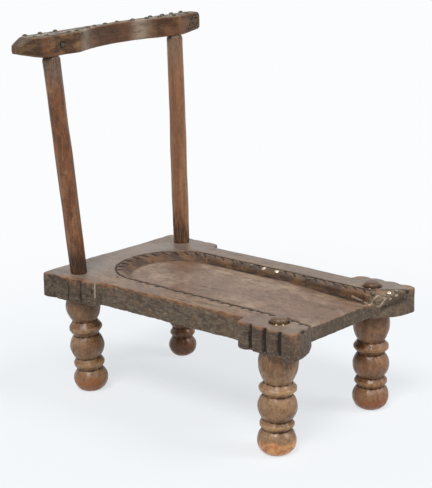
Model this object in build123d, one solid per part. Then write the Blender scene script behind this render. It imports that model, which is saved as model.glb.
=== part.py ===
from build123d import *
import os
from math import atan2, cos, degrees, pi, sin, sqrt, tan

# A low birthing chair with a tall open back, carved and pegged together from hardwood.
# The seat is one thick plank with a sunken, horseshoe-shaped hollow that runs out at the
# front between two carved ears. Four ball-and-ring legs and two leaning back posts are
# tenoned into it, and a yoke-shaped crest rail set with domed tacks crowns the posts.
# Frame: origin on the floor under the middle of the whole chair, -Y front, +Z up, and +X
# to the right for someone who stands in front of the chair and faces it. Millimetres.
# All is drawn about the middle of the seat, and moved by save to the middle between the
# rail's two tips, which aren't equally long.

# ---- seat plank ---------------------------------------------------------------------
leg_height = 152.5            # floor to the underside of the corner blocks
seat_thickness = 39.0
waist_planing = 2.0           # the underside is planed thinner between the blocks
seat_length = 500.0           # front of the ears to the back edge
seat_width = 282.0            # across the corner blocks
front_block = 104.0           # length of a front corner block along the side
rear_block = 108.0
left_rear_step = 12.0         # how far the long sides stand back between the blocks
left_front_step = 20.0
right_step = 17.0
shoulder_slope = 6.0          # the rear blocks' front ends slope back by this much
rear_left_flare = 7.0         # the rear left block widens towards the back edge
block_lobes = 4               # upright lobes carved on the side of each block
front_lobe_depth = 4.5
rear_lobe_depth = 2.0
lip_setback = 34.0            # the front lip stands back this far between the ears
left_ear_foot = 12.0          # the ears start this far inside the hollow's sides
right_ear_foot = 4.0
ear_bulge = 10.0              # how far the front of each ear is rounded out

# ---- the horseshoe hollow and its carved border --------------------------------------
rim_width = 54.0              # side of the seat to the outside of the border
border_width = 12.0
border_drop = 4.0             # the border slopes down this much towards the hollow
hollow_depth = 10.5
lip_depth = 17.0              # the floor falls to this depth at the front lip
floor_fall = 150.0            # from the lip back to where the floor is level
hollow_setback = 139.0        # back edge of the seat to the centre of the hollow's round end
groove_width = 2.2            # the thin line cut round the border
groove_depth = 2.0
mouth_length = 45.0           # front edge to where the border turns outwards on the ears
left_mouth_flare = 8.0        # how far it has turned outwards at the front edge
right_mouth_flare = 37.0
notch_pitch = 18.0            # short cuts across the border, pointing at the hollow
notch_width = 2.0
notch_depth = 1.6
notch_margin = 1.0            # bare wood between a cut and the border's outer edge

# ---- legs ---------------------------------------------------------------------------
foot_ball = 36.5              # heights of the turned parts, from the floor up
lower_ring = 14.8
middle_ball = 37.0
upper_ring = 18.5             # the top ball takes what is left under the seat
ring_land = 3.6               # narrow band round the edge of each ring
ball_radius = 27.8
upper_ring_radius = 26.8
lower_ring_radius = 24.9
neck_radius = 19.8
shoulder_radius = 24.5        # the top ball's flat against the seat
foot_flat_radius = 16.0
front_leg_setback = 53.0      # from the front of the ears to the leg's axis
front_leg_splay = 0.02        # outward lean, mm for each mm of height
front_leg_tuck = 0.026        # the front feet stand back by this much, mm for each mm
back_leg_rake = 0.028         # the tops of the back legs stand back by this much
front_tenon_radius = 12.0
boss_height = 7.0             # the tenon's rounded end stands this high above the seat
boss_rounding = 5.5
boss_moat = 3.6               # ring-shaped groove cut round the tenon's end
boss_moat_depth = 2.0
boss_gap = 0.8                # bare wood between that groove and the border's line
# cut by eye, no two legs are quite alike: their thickness, and the height of their rings
leg_girth = {"front_left": 1.0, "front_right": 0.98, "back_left": 0.965, "back_right": 0.83}
ring_height = {"front_left": 0.95, "front_right": 1.06, "back_left": 1.3, "back_right": 1.1}

# ---- back posts ---------------------------------------------------------------------
post_inset = 27.0             # from the side of the seat to the post's axis, at the seat
post_setback = 49.2           # from the back edge of the seat to the post's axis
lean_out = {"left": 0.052, "right": 0.063}    # mm for each mm of height
lean_back = {"left": 0.0525, "right": 0.0628}
post_radius = 12.8
post_swell = 0.5              # extra radius half way up
post_shoulder = 9.0           # length of the rounded shoulder under the rail
post_shoulder_radius = 9.6
rear_leg_tenon_radius = 10.0
post_tenon_radius = 9.0
tenon_gap = 3.0               # between the ends of post and leg, which meet in one hole
head_tenon_radius = 5.5
head_cover = 12.0             # wood left above a post's head tenon in the rail
fit_clearance = 0.1           # all round each tenon and each tack's shank
root = 10.0                   # a tenon starts this deep inside its own piece

# ---- crest rail ---------------------------------------------------------------------
back_clearance = 337.5        # top of the seat to the underside of the rail, at the middle
rail_height = 31.5
rail_tilt = 0.8               # degrees, the right end higher
rail_setback = 1.0            # back edge of the seat to the back of the rail
middle_thickness = 14.0       # front to back at the deepest part of the hollowed front
hollow_middle = 30.0          # the deepest part is this far right of the middle
left_horn = 42.0              # front to back at the forward corners
right_horn = 36.0
left_corner = 145.0           # middle of the seat to the forward corners
right_corner = 140.5
left_facet_end = 80.0         # where the flat beside the left corner meets the hollow
right_facet_end = 118.0
tip_thickness = 21.0
left_tip = 190.0              # middle of the seat to the tips
right_tip = 200.0
left_tip_forward = 9.0        # the tips' back corners are cut forward by this much
right_tip_forward = 5.0
wing_cut = 18.5               # post's axis to where the wing's back and underside are cut away
left_wing_rise = 9.0          # the wings' undersides rise this much towards the tips
right_wing_rise = 4.0
tip_rounding = 8.0
rail_top_edge = 1.5           # worn edge

# ---- brass tacks and the nail --------------------------------------------------------
tack_radius = 4.0
tack_dome = 2.6
tack_shank_radius = 0.7
tack_shank = 9.0
tack_edge = 6.5               # from the rail's edge to the middle of a tack
# places along the rail, from the middle
front_tacks = (-160, -141, -98, -81, -45, -27, 0, 28, 60, 86, 109, 135, 165)
back_tacks = (-158, -129, -99, 102, 129, 150, 172)
# places along the straight right side of the border, as shares from its back end
border_tacks = (0.187, 0.299, 0.38, 0.462, 0.655)
# places on the right ear: share of the mouth's length, distance from the border's outer edge
ear_tacks = ((0.22, 9.0), (0.62, 9.0), (0.76, 5.0))
boss_tack_radius = 1.6
boss_tack_dome = 1.5
boss_tack_turns = (-67.0, -27.0)  # degrees round from the front of the boss, to the left
nail_head_radius = 3.6
nail_head = 1.0
nail_shank_radius = 1.6
nail_shank = 22.0
nail_from_corner = 29.0       # from the left forward corner
nail_height = 15.5            # above the rail's underside
nail_sink_radius = 4.8
nail_sink = 1.2
hole_spare = 0.5              # a hole is this much deeper than its shank

seat_underside = leg_height
seat_top = leg_height + seat_thickness
front_edge = -seat_length / 2
back_edge = seat_length / 2
side = seat_width / 2
border_half_width = side - rim_width
hollow_half_width = border_half_width - border_width
arc_y = back_edge - hollow_setback
flare_y = front_edge + mouth_length
moat_radius = front_tenon_radius + boss_moat
front_leg_x = border_half_width + groove_width + boss_gap + moat_radius
post_x = side - post_inset
post_y = back_edge - post_setback
seat_middle = leg_height + seat_thickness / 2
rear_tenon = (seat_thickness - tenon_gap) / 2
head_tenon = rail_height - head_cover
rail_underside = seat_top + back_clearance
rail_back = back_edge - rail_setback


def lobed_side(start, end, depth):
    """Upright lobes along a block's side, between two corners."""
    start = Vector(*start)
    step = (Vector(*end) - start) / block_lobes
    outwards = Vector(step.Y, -step.X).normalized() * depth
    if outwards.X * start.X < 0:
        outwards = -outwards
    valleys = [start + step * i for i in range(block_lobes + 1)]
    return [ThreePointArc(a, (a + b) / 2 + outwards, b) for a, b in zip(valleys, valleys[1:])]


def half_outline(sign):
    """One half of the seat seen from above, from the middle of the back to the middle of the lip."""
    right = sign > 0
    rear_in = side - rear_lobe_depth
    front_in = side - front_lobe_depth
    rcorner_x = rear_in + (0 if right else rear_left_flare)
    corner_x = side if right else front_in
    rear_waist = side - (right_step if right else left_rear_step)
    front_waist = side - (right_step if right else left_front_step)
    rear_end = back_edge - rear_block
    front_start = front_edge + front_block
    lip_x = hollow_half_width - (right_ear_foot if right else left_ear_foot)
    lip_y = front_edge + lip_setback
    ear_middle = ((lip_x + corner_x) / 2, front_edge + lip_setback / 2 - ear_bulge)

    def at(x, y):
        return (sign * x, y)

    edges = [Line((0, back_edge), at(rcorner_x, back_edge))]
    edges += lobed_side(at(rcorner_x, back_edge), at(rear_in, rear_end), rear_lobe_depth)
    edges.append(Line(at(rear_in, rear_end), at(rear_waist, rear_end - shoulder_slope)))
    edges.append(Line(at(rear_waist, rear_end - shoulder_slope), at(front_waist, front_start)))
    edges.append(Line(at(front_waist, front_start), at(front_in, front_start)))
    edges += lobed_side(at(front_in, front_start), at(corner_x, front_edge), front_lobe_depth)
    edges.append(ThreePointArc(at(corner_x, front_edge), at(*ear_middle), at(lip_x, lip_y)))
    edges.append(Line(at(lip_x, lip_y), (0, lip_y)))
    return edges


def seat_outline():
    return make_face(Wire(half_outline(1) + half_outline(-1)))


def flare_angle(sign):
    return atan2(right_mouth_flare if sign > 0 else left_mouth_flare, mouth_length)


def horseshoe(inset, flared=True):
    """The border's outer edge moved inwards: a round back, straight sides, a flared mouth."""
    half_width = border_half_width - inset
    open_y = front_edge - mouth_length
    turns = []
    mouth = []
    for sign in (1, -1):
        flare = flare_angle(sign) if flared else 0.0
        turn_y = flare_y - inset * tan(flare / 2)
        turns.append((sign * half_width, turn_y))
        mouth.append((sign * (half_width + (turn_y - open_y) * tan(flare)), open_y))
    right_end = (half_width, arc_y)
    left_end = (-half_width, arc_y)
    return make_face(
        Wire(
            [
                Line(mouth[0], turns[0]),
                Line(turns[0], right_end),
                ThreePointArc(right_end, (0, arc_y + half_width), left_end),
                Line(left_end, turns[1]),
                Line(turns[1], mouth[1]),
                Line(mouth[1], mouth[0]),
            ]
        )
    )


def border_place(sign, y, inset):
    """On the sloping border, a distance in from its outer edge, local +X pointing outwards."""
    flare = flare_angle(sign) if y < flare_y else 0.0
    x = border_half_width + (flare_y - y) * tan(flare) - inset / cos(flare)
    slope = degrees(atan2(border_drop, border_width))
    z = seat_top - border_drop * inset / border_width
    outwards = degrees(flare) if sign > 0 else 180 - degrees(flare)
    return Pos(sign * x, y, z) * Rot(0, 0, outwards) * Rot(0, -slope, 0)


def border_tack_places():
    straight = arc_y - flare_y
    middle = border_width / 2
    on_side = [border_place(1, arc_y - share * straight, middle) for share in border_tacks]
    on_ear = [border_place(1, flare_y - share * mouth_length, inset) for share, inset in ear_tacks]
    return on_side + on_ear


def notch_cutter():
    """V-shaped cut that runs out into the hollow, its top on the border's slope."""
    half = notch_width / 2
    profile = make_face(Polyline((-half, 0), (0, -notch_depth), (half, 0), (0, half), (-half, 0)))
    return extrude(Plane.YZ * profile, -border_width)


def border_notches():
    """All round the border, left out where a tack is in the way."""
    cutter = notch_cutter()
    middle_radius = border_half_width - border_width / 2
    clear = tack_radius + notch_width
    tack_ys = [place.position.Y for place in border_tack_places()]
    slope = degrees(atan2(border_drop, border_width))
    notches = []
    count = round(pi * middle_radius / notch_pitch)
    for i in range(count + 1):
        turn = Rot(0, 0, 180 * i / count)
        out = border_half_width - notch_margin
        z = seat_top - border_drop * notch_margin / border_width
        notches.append(Pos(0, arc_y, 0) * turn * Pos(out, 0, z) * Rot(0, -slope, 0) * cutter)
    straight_count = int((arc_y - front_edge) / notch_pitch)
    for i in range(1, straight_count):
        y = arc_y - i * notch_pitch
        notches.append(border_place(-1, y, notch_margin) * cutter)
        if all(abs(y - tack_y) > clear for tack_y in tack_ys):
            notches.append(border_place(1, y, notch_margin) * cutter)
    return notches


def slab(z0, z1):
    return Pos(0, 0, (z0 + z1) / 2) * Box(3 * seat_width, 2 * seat_length, z1 - z0)


def sunk(face, depth):
    """Prism that cuts a face's shape into the seat from above."""
    return extrude(Pos(0, 0, seat_top + root) * face, -(depth + root))


def over_hollow_floor():
    """Block over the hollow's floor, which is level and then falls towards the lip."""
    level = seat_top - hollow_depth
    lip = seat_top - lip_depth
    lip_y = front_edge + lip_setback
    front = (front_edge - mouth_length, lip)
    over = seat_top + root
    floor = Polyline(front, (lip_y, lip), (lip_y + floor_fall, level), (back_edge, level))
    above = Polyline((back_edge, level), (back_edge, over), (front[0], over), front)
    return extrude(Plane.YZ * make_face([*floor.edges(), *above.edges()]), seat_width, both=True)


def seat_plank():
    plank = Pos(0, 0, seat_underside) * extrude(seat_outline(), seat_thickness)
    between_blocks = seat_length - front_block - rear_block
    planing = Box(2 * seat_width, between_blocks, 2 * waist_planing)
    plank -= Pos(0, (front_block - rear_block) / 2, seat_underside) * planing
    outside = horseshoe(0)
    inside = horseshoe(border_width)
    border_foot = Pos(0, 0, seat_top - border_drop) * inside
    hollow_foot = Pos(0, 0, seat_top - lip_depth) * horseshoe(border_width, flared=False)
    plank -= sunk(horseshoe(-groove_width) - outside, groove_depth)
    plank -= loft([Pos(0, 0, seat_top) * outside, border_foot], True)
    plank -= loft([border_foot, hollow_foot], True) & over_hollow_floor()
    for name in ("front_left", "front_right"):
        plank -= peg(leg_axis(name), front_tenon_radius + fit_clearance, 0, seat_top + root)
        plank -= boss_place(name) * Cylinder(moat_radius, 2 * boss_moat_depth)
    for side_name in ("left", "right"):
        leg_hole = rear_leg_tenon_radius + fit_clearance
        post_hole = post_tenon_radius + fit_clearance
        plank -= peg(leg_axis("back_" + side_name), leg_hole, 0, seat_middle)
        plank -= peg(post_axis(side_name), post_hole, seat_middle - root, seat_top + root)
    for place in border_tack_places() + boss_tack_places():
        plank -= place * shank_hole(tack_shank_radius, tack_shank)
    return plank - border_notches()


def sign_of(name):
    return 1 if name.endswith("right") else -1


def axis_through(point, slope):
    """Plane on the floor, its Z along a slope that rises 1 for each unit of height."""
    return Plane(origin=point - slope * point.Z, x_dir=(1, 0, -slope.X), z_dir=slope)


def post_axis(side_name):
    sign = sign_of(side_name)
    slope = Vector(sign * lean_out[side_name], lean_back[side_name], 1)
    return axis_through(Vector(sign * post_x, post_y, seat_top), slope)


def leg_axis(name):
    """A back leg meets its post in the middle of the plank's thickness."""
    sign = sign_of(name)
    if name.startswith("front"):
        top = Vector(sign * front_leg_x, front_edge + front_leg_setback, seat_top)
        return axis_through(top, Vector(-sign * front_leg_splay, -front_leg_tuck, 1))
    side_name = name.removeprefix("back_")
    half = seat_thickness / 2
    x = sign * (post_x - lean_out[side_name] * half)
    y = post_y - lean_back[side_name] * half
    slope = Vector(sign * lean_out[side_name], back_leg_rake, 1)
    return axis_through(Vector(x, y, seat_middle), slope)


def boss_place(name):
    """Middle of a front leg's through tenon, level with the top of the seat."""
    axis = leg_axis(name)
    return Pos(axis.origin + axis.z_dir * (seat_top / axis.z_dir.Z))


def peg(axis, radius, start, end):
    """Round peg on an axis, between two distances from the floor."""
    return axis * Pos(0, 0, (start + end) / 2) * Cylinder(radius, end - start)


def ball(low_neck, high_neck, bulge, z, rise):
    return ThreePointArc((low_neck, z), (bulge, z + rise / 2), (high_neck, z + rise))


def ring(neck, edge, z, rise):
    """A collar that slopes out from both necks to a narrow band."""
    low = z + (rise - ring_land) / 2
    high = low + ring_land
    return list(Polyline((neck, z), (edge, low), (edge, high), (neck, z + rise)).edges())


def turned_profile(girth, ring_share):
    """Half outline of a leg: foot ball, ring, ball, ring, and the ball under the seat."""
    neck = neck_radius * girth
    foot = foot_flat_radius * girth
    shoulder = shoulder_radius * girth
    bulge = ball_radius * girth
    lower_z = foot_ball * girth
    middle_z = lower_z + lower_ring * ring_share
    upper_z = middle_z + middle_ball
    top_z = upper_z + upper_ring * ring_share
    edges = [Line((0, -root), (foot, -root)), Line((foot, -root), (foot, 0))]
    edges.append(ball(foot, neck, bulge, 0, lower_z))
    edges += ring(neck, lower_ring_radius * girth, lower_z, lower_ring * ring_share)
    edges.append(ball(neck, neck, bulge, middle_z, middle_ball))
    edges += ring(neck, upper_ring_radius * girth, upper_z, upper_ring * ring_share)
    edges.append(ball(neck, shoulder, bulge, top_z, leg_height - top_z))
    edges.append(Line((shoulder, leg_height), (shoulder, leg_height + root)))
    edges.append(Line((shoulder, leg_height + root), (0, leg_height + root)))
    edges.append(Line((0, leg_height + root), (0, -root)))
    return Plane.XZ * make_face(Wire(edges))


def leg(name):
    axis = leg_axis(name)
    body = axis * revolve(turned_profile(leg_girth[name], ring_height[name]), Axis.Z)
    body = body & slab(0, seat_underside)
    if name.startswith("front"):
        tenon = peg(axis, front_tenon_radius, leg_height - root, seat_top + boss_height)
        rim = tenon.edges().sort_by(Axis.Z)[-1]
        tenon = fillet(rim, boss_rounding)
    else:
        tenon = peg(axis, rear_leg_tenon_radius, leg_height - root, leg_height + rear_tenon)
    return body + tenon


def along_post(side_name, height):
    """Distance along a post's axis that rises to a height above the floor."""
    return height * sqrt(1 + lean_out[side_name] ** 2 + lean_back[side_name] ** 2)


def head_x(side_name):
    return sign_of(side_name) * (post_x + lean_out[side_name] * back_clearance)


def rail_plane():
    """The rail's underside, turned by the rail's small tilt."""
    return Plane(origin=(0, 0, rail_underside)).rotated((0, -rail_tilt, 0))


def post_head(side_name):
    """Distance along the post's axis to the rail's underside."""
    return along_post(side_name, rail_underside + head_x(side_name) * tan(rail_tilt * pi / 180))


def back_post(side_name):
    """Shaved round stave: a tenon at each end, a rounded shoulder under the rail."""
    axis = post_axis(side_name)
    foot = along_post(side_name, seat_top)
    head = post_head(side_name)
    low = foot - root
    high = head + root
    shoulder_z = head - post_shoulder
    belly = (post_radius + post_swell, (foot + head) / 2)
    steepest = sin(pi / 4)
    round_x = post_shoulder_radius + (post_radius - post_shoulder_radius) * steepest
    round_z = head - post_shoulder * (1 - steepest)
    profile = make_face(
        Wire(
            [
                Line((0, low), (post_radius, low)),
                Line((post_radius, low), (post_radius, foot)),
                ThreePointArc((post_radius, foot), belly, (post_radius, shoulder_z)),
                ThreePointArc(
                    (post_radius, shoulder_z), (round_x, round_z), (post_shoulder_radius, head)
                ),
                Line((post_shoulder_radius, head), (post_shoulder_radius, high)),
                Line((post_shoulder_radius, high), (0, high)),
                Line((0, high), (0, low)),
            ]
        )
    )
    body = axis * revolve(Plane.XZ * profile, Axis.Z)
    under_rail = Pos(0, 0, -back_clearance) * Box(3 * right_tip, seat_length, 2 * back_clearance)
    body = body & (rail_plane() * Pos(0, rail_back, 0) * under_rail)
    body = body & slab(seat_top, rail_underside + rail_height)
    body += peg(axis, post_tenon_radius, foot - rear_tenon, foot + root)
    return body + peg(axis, head_tenon_radius, head - root, head + head_tenon)


def hollow_front(x):
    """Round hollow along the front of the rail, deepest a little right of the middle."""
    half_chord = hollow_middle + left_facet_end
    depth = left_horn - middle_thickness
    radius = (half_chord**2 + depth**2) / (2 * depth)
    return rail_back - middle_thickness - radius + sqrt(radius**2 - (x - hollow_middle) ** 2)


def rail_front(x):
    """Front of the rail in plan: swept-back wings, forward corners, flats and the hollow."""
    left_y = rail_back - left_horn
    right_y = rail_back - right_horn
    if x < -left_corner:
        tip_y = rail_back - left_tip_forward - tip_thickness
        return left_y + (tip_y - left_y) * (x + left_corner) / (left_corner - left_tip)
    if x < -left_facet_end:
        return left_y
    if x < right_facet_end:
        return hollow_front(x)
    if x < right_corner:
        flat_y = hollow_front(right_facet_end)
        share = (x - right_facet_end) / (right_corner - right_facet_end)
        return flat_y + (right_y - flat_y) * share
    tip_y = rail_back - right_tip_forward - tip_thickness
    return right_y + (tip_y - right_y) * (x - right_corner) / (right_tip - right_corner)


def rail_outline():
    """The bar seen from above."""
    fronts = (-left_tip, -left_corner, -left_facet_end, right_facet_end, right_corner, right_tip)
    front = [(x, rail_front(x)) for x in fronts]
    left_back = [(head_x("left") - wing_cut, rail_back), (-left_tip, rail_back - left_tip_forward)]
    right_back = [(right_tip, rail_back - right_tip_forward), (head_x("right") + wing_cut, rail_back)]
    edges = list(Polyline(*front[:3]).edges())
    edges.append(ThreePointArc(front[2], (hollow_middle, rail_front(hollow_middle)), front[3]))
    edges += Polyline(*front[3:], *right_back, *left_back, front[0]).edges()
    bar = make_face(Wire(edges))
    tips = [v for v in bar.vertices() if v.X < -left_corner - wing_cut or v.X > right_corner + wing_cut]
    return fillet(tips, tip_rounding)


def wing_underside(side_name, tip, rise):
    """Wedge that lifts a wing's underside towards the tip."""
    sign = sign_of(side_name)
    start = head_x(side_name) + sign * wing_cut
    end = start + 2 * (sign * tip - start)
    wedge = make_face(
        Polyline((start, 0), (end, 2 * rise), (end, -rise), (start, -rise), (start, 0))
    )
    return extrude(Plane.XZ * wedge, 2 * seat_length, both=True)


def crest_rail():
    bar = extrude(rail_outline(), rail_height)
    bar = chamfer(bar.faces().sort_by(Axis.Z)[-1].edges(), rail_top_edge)
    bar -= wing_underside("left", left_tip, left_wing_rise)
    bar -= wing_underside("right", right_tip, right_wing_rise)
    rail = rail_plane() * bar
    for side_name in ("left", "right"):
        head = post_head(side_name)
        socket = head + head_tenon + hole_spare
        rail -= peg(post_axis(side_name), head_tenon_radius + fit_clearance, head - root, socket)
    for place in rail_tack_places():
        rail -= place * shank_hole(tack_shank_radius, tack_shank)
    rail -= nail_place() * Cylinder(nail_sink_radius, 2 * nail_sink)
    return rail - nail_place() * shank_hole(nail_shank_radius, nail_sink + nail_shank)


def tack(radius, dome_height):
    """Domed head seated at z = 0, with its shank below."""
    sphere_radius = (radius**2 + dome_height**2) / (2 * dome_height)
    steep = atan2(radius, sphere_radius - dome_height) / 2
    on_dome = (sphere_radius * sin(steep), dome_height - sphere_radius * (1 - cos(steep)))
    dome = ThreePointArc((0, dome_height), on_dome, (radius, 0))
    shank = Polyline(
        (radius, 0), (tack_shank_radius, 0), (tack_shank_radius, -tack_shank), (0, -tack_shank)
    )
    closing = Line((0, -tack_shank), (0, dome_height))
    return revolve(Plane.XZ * make_face(Wire([dome, *shank.edges(), closing])), Axis.Z)


def shank_hole(radius, length):
    depth = length + hole_spare
    return Pos(0, 0, -depth / 2) * Cylinder(radius + fit_clearance, depth)


def rail_tack_places():
    top = rail_plane() * Pos(0, 0, rail_height)
    front = [top * Pos(x, rail_front(x) + tack_edge, 0) for x in front_tacks]
    back = [top * Pos(x, rail_back - tack_edge, 0) for x in back_tacks]
    return front + back


def boss_tack_places():
    """Small tacks on the floor of the ring-shaped groove round each front boss."""
    middle = front_tenon_radius + boss_moat / 2
    floor = Pos(0, -middle, -boss_moat_depth)
    turns = [Rot(0, 0, turn) for turn in boss_tack_turns]
    bosses = [boss_place("front_left"), boss_place("front_right")]
    return [boss * turn * floor for boss in bosses for turn in turns]


def nail_place():
    """On the flat front of the rail beside the left post, square to that face."""
    x = nail_from_corner - left_corner
    return rail_plane() * Pos(x, rail_front(x), nail_height) * Rot(90, 0, 0)


def rail_nail():
    """Round iron nail, its flat head let into a shallow sinking in the rail's front."""
    shank = Pos(0, 0, -nail_shank / 2) * Cylinder(nail_shank_radius, nail_shank)
    head = Pos(0, 0, nail_head / 2) * Cylinder(nail_head_radius, nail_head)
    return nail_place() * Pos(0, 0, -nail_sink) * (shank + head)


def save(shape, name):
    to_middle = Pos((left_tip - right_tip) / 2, 0, 0)
    export_step(to_middle * shape, os.path.join("parts", name + ".step"))


def save_group(places, piece, name):
    save(Compound([(place * piece).solid() for place in places]), name)


os.makedirs("parts", exist_ok=True)
large_tack = tack(tack_radius, tack_dome)
small_tack = tack(boss_tack_radius, boss_tack_dome)
save(seat_plank(), "seat_plank")
for leg_name in leg_girth:
    save(leg(leg_name), "leg_" + leg_name)
for side_name in ("left", "right"):
    save(back_post(side_name), "back_post_" + side_name)
save(crest_rail(), "crest_rail")
save_group(rail_tack_places(), large_tack, "rail_tacks")
save_group(border_tack_places(), large_tack, "border_tacks")
save_group(boss_tack_places(), small_tack, "boss_tacks")
save(rail_nail(), "rail_nail")
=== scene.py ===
import math

import bmesh
import bpy
import numpy as np
from mathutils import Matrix, Vector, noise


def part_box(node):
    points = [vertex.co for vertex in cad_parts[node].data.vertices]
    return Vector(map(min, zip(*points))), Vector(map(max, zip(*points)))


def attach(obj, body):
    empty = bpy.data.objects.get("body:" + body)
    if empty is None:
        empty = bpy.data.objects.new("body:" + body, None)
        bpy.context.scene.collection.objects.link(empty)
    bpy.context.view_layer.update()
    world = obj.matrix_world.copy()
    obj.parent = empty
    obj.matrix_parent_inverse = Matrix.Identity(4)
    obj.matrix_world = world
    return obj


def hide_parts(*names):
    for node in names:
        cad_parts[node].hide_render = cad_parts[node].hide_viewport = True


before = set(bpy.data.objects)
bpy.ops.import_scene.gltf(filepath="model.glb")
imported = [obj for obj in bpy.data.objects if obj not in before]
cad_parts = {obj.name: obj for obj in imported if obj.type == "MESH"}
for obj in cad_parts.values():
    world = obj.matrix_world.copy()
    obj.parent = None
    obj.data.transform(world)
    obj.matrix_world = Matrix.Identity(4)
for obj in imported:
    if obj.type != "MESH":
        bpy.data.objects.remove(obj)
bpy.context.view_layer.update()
scene = bpy.context.scene
mm = 0.001

# ---- the camera ----------------------------------------------------------------------
# A long lens at about eye height, looking down on the chair from beyond its front left
# corner, so that the hollow, both ears and the whole open back show.
camera_spot = Vector((-1.4766, -1.3604, 0.7898))
camera_turn = math.radians(-46.92)
camera_height = math.radians(15.18)
camera_roll = math.radians(-1.51)
back = Vector(
    (
        math.sin(camera_turn) * math.cos(camera_height),
        -math.cos(camera_turn) * math.cos(camera_height),
        math.sin(camera_height),
    )
)
level_right = (-back).cross(Vector((0, 0, 1))).normalized()
level_up = level_right.cross(-back)
right = math.cos(camera_roll) * level_right + math.sin(camera_roll) * level_up
up = math.cos(camera_roll) * level_up - math.sin(camera_roll) * level_right
camera = bpy.data.objects.new("camera", bpy.data.cameras.new("camera"))
camera.data.lens = 102.14
camera.data.sensor_width = 36.0
camera.matrix_world = Matrix.Translation(camera_spot) @ Matrix((right, up, back)).transposed().to_4x4()
scene.collection.objects.link(camera)
scene.camera = camera
scene.view_settings.view_transform = "Standard"


# ---- the seat plank ------------------------------------------------------------------
# One thick hewn hardwood board. Its horseshoe hollow is dished out with an adze, the
# border round it is cut with a row of slanted chips and a scored line, and the sides of
# the corner blocks are carved into upright lobes. Its top is rubbed by use.
seat_middle = np.array((-5.0, 0.0, 0.0))    # the rail reaches further on the right


class Skin:
    """A piece's surface as arrays, in millimetres from the middle of the seat."""

    def __init__(self, piece):
        self.piece = piece
        self.mesh = piece.data
        count = len(self.mesh.vertices)
        flat = np.empty(count * 3, np.float32)
        self.mesh.vertices.foreach_get("co", flat)
        self.points = flat.reshape(-1, 3).astype(float) / mm - seat_middle
        pairs = np.empty(len(self.mesh.edges) * 2, np.int32)
        self.mesh.edges.foreach_get("vertices", pairs)
        self.first = pairs[0::2]
        self.second = pairs[1::2]
        ends = np.bincount(self.first, minlength=count) + np.bincount(self.second, minlength=count)
        self.links = np.maximum(ends, 1)

    def around(self, values):
        """Each point's neighbours, averaged."""
        count = len(self.links)
        total = np.bincount(self.first, values[self.second], count)
        total += np.bincount(self.second, values[self.first], count)
        return total / self.links

    def around_points(self):
        return np.stack([self.around(self.points[:, axis]) for axis in range(3)], axis=1)

    def write(self):
        flat = ((self.points + seat_middle) * mm).astype(np.float32).ravel()
        self.mesh.vertices.foreach_set("co", flat)
        self.mesh.update()

    def normals(self):
        self.write()
        flat = np.empty(len(self.points) * 3, np.float32)
        self.mesh.vertex_normals.foreach_get("vector", flat)
        return flat.reshape(-1, 3).astype(float)

    def rub(self, passes, share):
        """Wears edges and corners down; share is how far each pass goes, for all or each point."""
        share = np.broadcast_to(share, len(self.points))[:, None]
        for _ in range(passes):
            self.points += (self.around_points() - self.points) * share

    def lift(self, heights):
        self.points += self.normals() * np.broadcast_to(heights, len(self.points))[:, None]

    def keen(self, passes):
        """Positive on ridges and negative in nooks, about -1 to 1."""
        turn = ((self.points - self.around_points()) * self.normals()).sum(axis=1)
        for _ in range(passes):
            turn = (turn + self.around(turn)) / 2
        return turn / (2.5 * np.std(turn) + 1e-9)

    def store(self, name, values):
        layer = self.mesh.attributes.new(name, "FLOAT", "POINT")
        layer.data.foreach_set("value", np.clip(values, 0, 1).astype(np.float32))


def settle(piece):
    """Turns a piece with its modifiers into a plain mesh."""
    shape = piece.evaluated_get(bpy.context.evaluated_depsgraph_get())
    mesh = bpy.data.meshes.new_from_object(shape)
    piece.modifiers.clear()
    piece.data = mesh
    return piece


def even_copy(node, name, face_size):
    """A node's shape as one closed skin of small even faces."""
    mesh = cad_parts[node].data.copy()
    shell = bmesh.new()
    shell.from_mesh(mesh)
    bmesh.ops.remove_doubles(shell, verts=shell.verts, dist=0.001 * mm)
    shell.to_mesh(mesh)
    shell.free()
    piece = bpy.data.objects.new(name, mesh)
    scene.collection.objects.link(piece)
    remesh = piece.modifiers.new("even_skin", "REMESH")
    remesh.mode = "VOXEL"
    remesh.voxel_size = face_size * mm
    remesh.use_smooth_shade = True
    return settle(piece)


def thin_out(piece, share):
    """Fewer faces where the surface is plain, so that a large piece stays light."""
    thinner = piece.modifiers.new("thin_out", "DECIMATE")
    thinner.ratio = share
    return settle(piece)


def bumps(points, size, seed, stretch=(1, 1, 1)):
    """Smooth unevenness of about -1 to 1, its bumps one size across, in millimetres."""
    spots = points / (size * np.array(stretch)) + 31.7 * seed
    return 2 * np.array([noise.noise(spot) for spot in spots.tolist()])


def ease(values, low, high):
    """0 below low, 1 above high and smooth between."""
    share = np.clip((values - low) / (high - low), 0, 1)
    return share * share * (3 - 2 * share)


seat_low, seat_high = (np.array(corner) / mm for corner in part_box("seat_plank"))
seat_top = seat_high[2]
front_edge = seat_low[1]
back_edge = seat_high[1]
border_out = 87.0                 # from the middle of the seat to the border's outer edge
border_width = 12.0
border_drop = 4.0
floor_depth = 10.5
lip_depth = 17.0                  # the floor falls to this depth at the front lip
floor_run = 150.0                 # from the lip back to where the floor is level
lip_y = front_edge + 34.0
arc_y = back_edge - 139.0         # middle of the horseshoe's round end
mouth_y = front_edge + 45.0       # where the border turns outwards on the ears
left_flare = math.atan2(8.0, 45.0)
right_flare = math.atan2(37.0, 45.0)
quarter_run = border_out * math.pi / 2
straight_run = arc_y - mouth_y
chip_pitch = 18.5
front_lobe = 26.0                 # length of a lobe along a front block
rear_lobe = 27.0
boss_x = 105.6
boss_y = -197.0


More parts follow.
